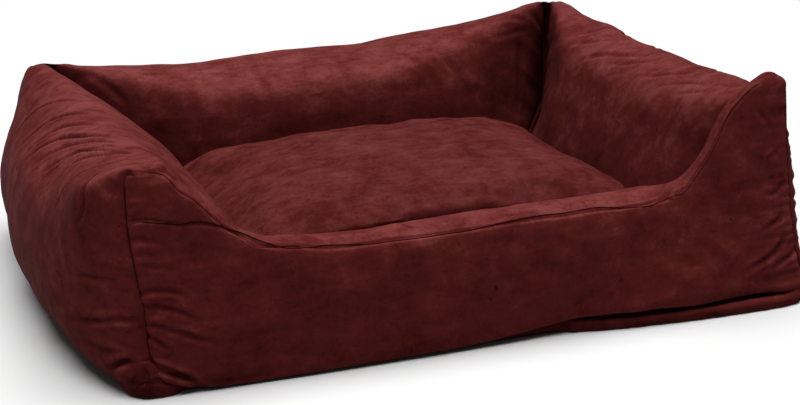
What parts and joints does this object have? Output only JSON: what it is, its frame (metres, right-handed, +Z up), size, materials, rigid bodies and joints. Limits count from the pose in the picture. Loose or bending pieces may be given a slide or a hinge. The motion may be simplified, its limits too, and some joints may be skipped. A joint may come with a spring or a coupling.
{
  "type": "dog bed",
  "caption": "Rectangular box dog bed in plush suede cloth: high stuffed bolsters on three sides, a low front with curved ears, a thin base pad and a loose seat cushion.",
  "frame": {"origin": "on the floor, under the middle of the overall box", "axes": "+X along the front from the left bolster to the right one, +Z up; the low front faces -Y"},
  "size_m": [0.901, 0.72, 0.25],
  "materials": {
    "burgundy_suede": "matte",
    "anti_slip_cloth": "matte",
    "fibre_filling": "matte",
    "case_cloth": "matte",
    "zip_tape": "matte",
    "zip_coil": "satin",
    "zip_metal": "satin"
  },
  "bodies": {
    "basket": {"base_bottom_cloth": "anti_slip_cloth", "base_wadding": "fibre_filling", "base_top_cloth": "burgundy_suede", "base_front_strip": "burgundy_suede", "base_left_strip": "burgundy_suede", "base_right_strip": "burgundy_suede", "base_back_left_strip": "burgundy_suede", "base_back_right_strip": "burgundy_suede", "base_corner_front_left": "burgundy_suede", "base_corner_front_right": "burgundy_suede", "base_corner_back_left": "burgundy_suede", "base_corner_back_right": "burgundy_suede", "left_outer_panel": "burgundy_suede", "left_inner_panel": "burgundy_suede", "right_outer_panel": "burgundy_suede", "right_inner_panel": "burgundy_suede", "back_outer_panel": "burgundy_suede", "back_inner_panel": "burgundy_suede", "front_face_panel": "burgundy_suede", "front_lip_facing": "burgundy_suede", "front_inner_panel": "burgundy_suede", "left_filling": "fibre_filling", "right_filling": "fibre_filling", "back_filling": "fibre_filling", "front_filling": "fibre_filling", "basket_zip_upper_tape": "zip_tape", "basket_zip_lower_tape": "zip_tape", "basket_zip_coil": "zip_coil", "basket_zip_stops": "zip_coil"},
    "seat_cushion": {"cushion_top_panel": "burgundy_suede", "cushion_bottom_panel": "burgundy_suede", "cushion_inner_case": "case_cloth", "cushion_filling": "fibre_filling", "cushion_zip_upper_tape": "zip_tape", "cushion_zip_lower_tape": "zip_tape", "cushion_zip_coil": "zip_coil", "cushion_zip_stops": "zip_coil"},
    "basket_slider": {"basket_zip_slider": "zip_metal"},
    "basket_pull": {"basket_zip_pull": "zip_metal"},
    "cushion_slider": {"cushion_zip_slider": "zip_metal"},
    "cushion_pull": {"cushion_zip_pull": "zip_metal"}
  },
  "joints": [
    {"name": "cushion_lift", "type": "slide", "parent": "basket", "child": "seat_cushion", "axis": [0, 0, 1], "range_m": [0, 0.3]},
    {"name": "basket_zip_run", "type": "slide", "parent": "basket", "child": "basket_slider", "axis": [-1, 0, 0], "range_m": [0, 0.4]},
    {"name": "basket_pull_flip", "type": "hinge", "parent": "basket_slider", "child": "basket_pull", "pos_m": [0.2014, 0.307, 0.0091], "axis": [0, 0, -1], "range_deg": [0, 170]},
    {"name": "cushion_zip_run", "type": "slide", "parent": "seat_cushion", "child": "cushion_slider", "axis": [-1, 0, 0], "range_m": [0, 0.24]},
    {"name": "cushion_pull_flip", "type": "hinge", "parent": "cushion_slider", "child": "cushion_pull", "pos_m": [0.1214, 0.117, 0.09], "axis": [0, 0, -1], "range_deg": [0, 170]}
  ]
}
